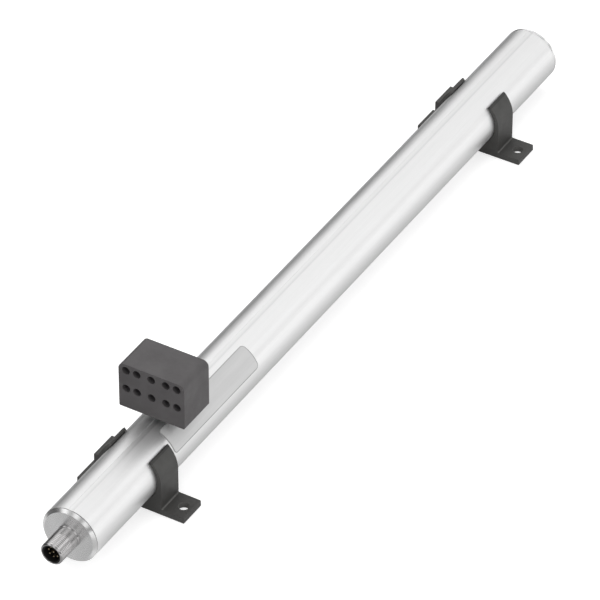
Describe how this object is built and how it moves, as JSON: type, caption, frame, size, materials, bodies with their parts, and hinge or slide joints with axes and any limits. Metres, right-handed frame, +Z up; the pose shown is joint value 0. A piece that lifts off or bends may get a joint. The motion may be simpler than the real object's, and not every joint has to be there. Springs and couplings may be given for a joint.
{
  "type": "magnetostrictive linear position sensor",
  "caption": "Rod-shaped linear position sensor: a round housing with a round plug connector, two clip-on mounting clamps and a magnet block that travels above it without touching.",
  "frame": {"origin": "on the mounting surface, under the middle of the overall length, in the plane of the tube's axis", "axes": "+Y along the tube, away from the connector; +Z up from the mounting surface; +X to the right seen from the connector end"},
  "size_m": [0.0596, 0.46, 0.0639],
  "materials": {
    "satin_aluminium": "satin anodised",
    "turned_aluminium": "turned, matt anodised",
    "seal_rubber": "matt",
    "plate_foil": "satin foil",
    "plated_brass": "nickel plated",
    "insert_plastic": "matt",
    "contact_metal": "gold plated",
    "board_laminate": "solder mask",
    "lead_film": "polyimide film",
    "inner_plastic": "moulded",
    "steel": "plain",
    "chip_case": "matt",
    "can_aluminium": "bright",
    "socket_plastic": "moulded",
    "coil_copper": "enamelled copper",
    "magnet_ferrite": "sintered",
    "sleeve_plastic": "extruded",
    "damper_rubber": "soft moulded",
    "clamp_plastic": "fine grained",
    "block_plastic": "fine grained",
    "potting_resin": "cast"
  },
  "bodies": {
    "sensor": {"housing_tube": "satin_aluminium", "front_cap": "turned_aluminium", "rear_cap": "turned_aluminium", "front_cap_seal": "seal_rubber", "rear_cap_seal": "seal_rubber", "label_plate": "plate_foil", "connector_shell": "plated_brass", "connector_seal": "seal_rubber", "connector_retainer": "plated_brass", "connector_insert": "insert_plastic", "contact_pins": "contact_metal", "contact_board": "board_laminate", "flexible_lead": "lead_film", "circuit_board": "board_laminate", "board_carrier": "inner_plastic", "board_screws": "steel", "signal_processor": "chip_case", "pulse_driver": "chip_case", "line_driver": "chip_case", "clock_crystal": "steel", "choke_coil": "chip_case", "storage_capacitors": "can_aluminium", "head_socket": "socket_plastic", "head_leads": "contact_metal", "head_block": "inner_plastic", "wire_anchor": "plated_brass", "shield_can": "steel", "pickup_coils": "coil_copper", "pickup_tapes": "steel", "bias_magnets": "magnet_ferrite", "waveguide_wire": "steel", "waveguide_sleeve": "sleeve_plastic", "return_conductor": "coil_copper", "waveguide_supports": "inner_plastic", "damping_element": "damper_rubber", "end_holder": "inner_plastic", "end_terminal": "plated_brass"},
    "magnet": {"magnet_block": "block_plastic", "position_magnets": "magnet_ferrite", "magnet_potting": "potting_resin"},
    "near_mounting": {"near_clamp": "clamp_plastic"},
    "far_mounting": {"far_clamp": "clamp_plastic"}
  },
  "joints": [
    {"name": "magnet_slide", "type": "slide", "parent": "sensor", "child": "magnet", "axis": [0, 1, 0], "range_m": [0, 0.3]},
    {"name": "near_clamp_slide", "type": "slide", "parent": "sensor", "child": "near_mounting", "axis": [0, 1, 0], "range_m": [-0.045, 0.1]},
    {"name": "far_clamp_slide", "type": "slide", "parent": "sensor", "child": "far_mounting", "axis": [0, 1, 0], "range_m": [-0.1, 0.045]}
  ]
}
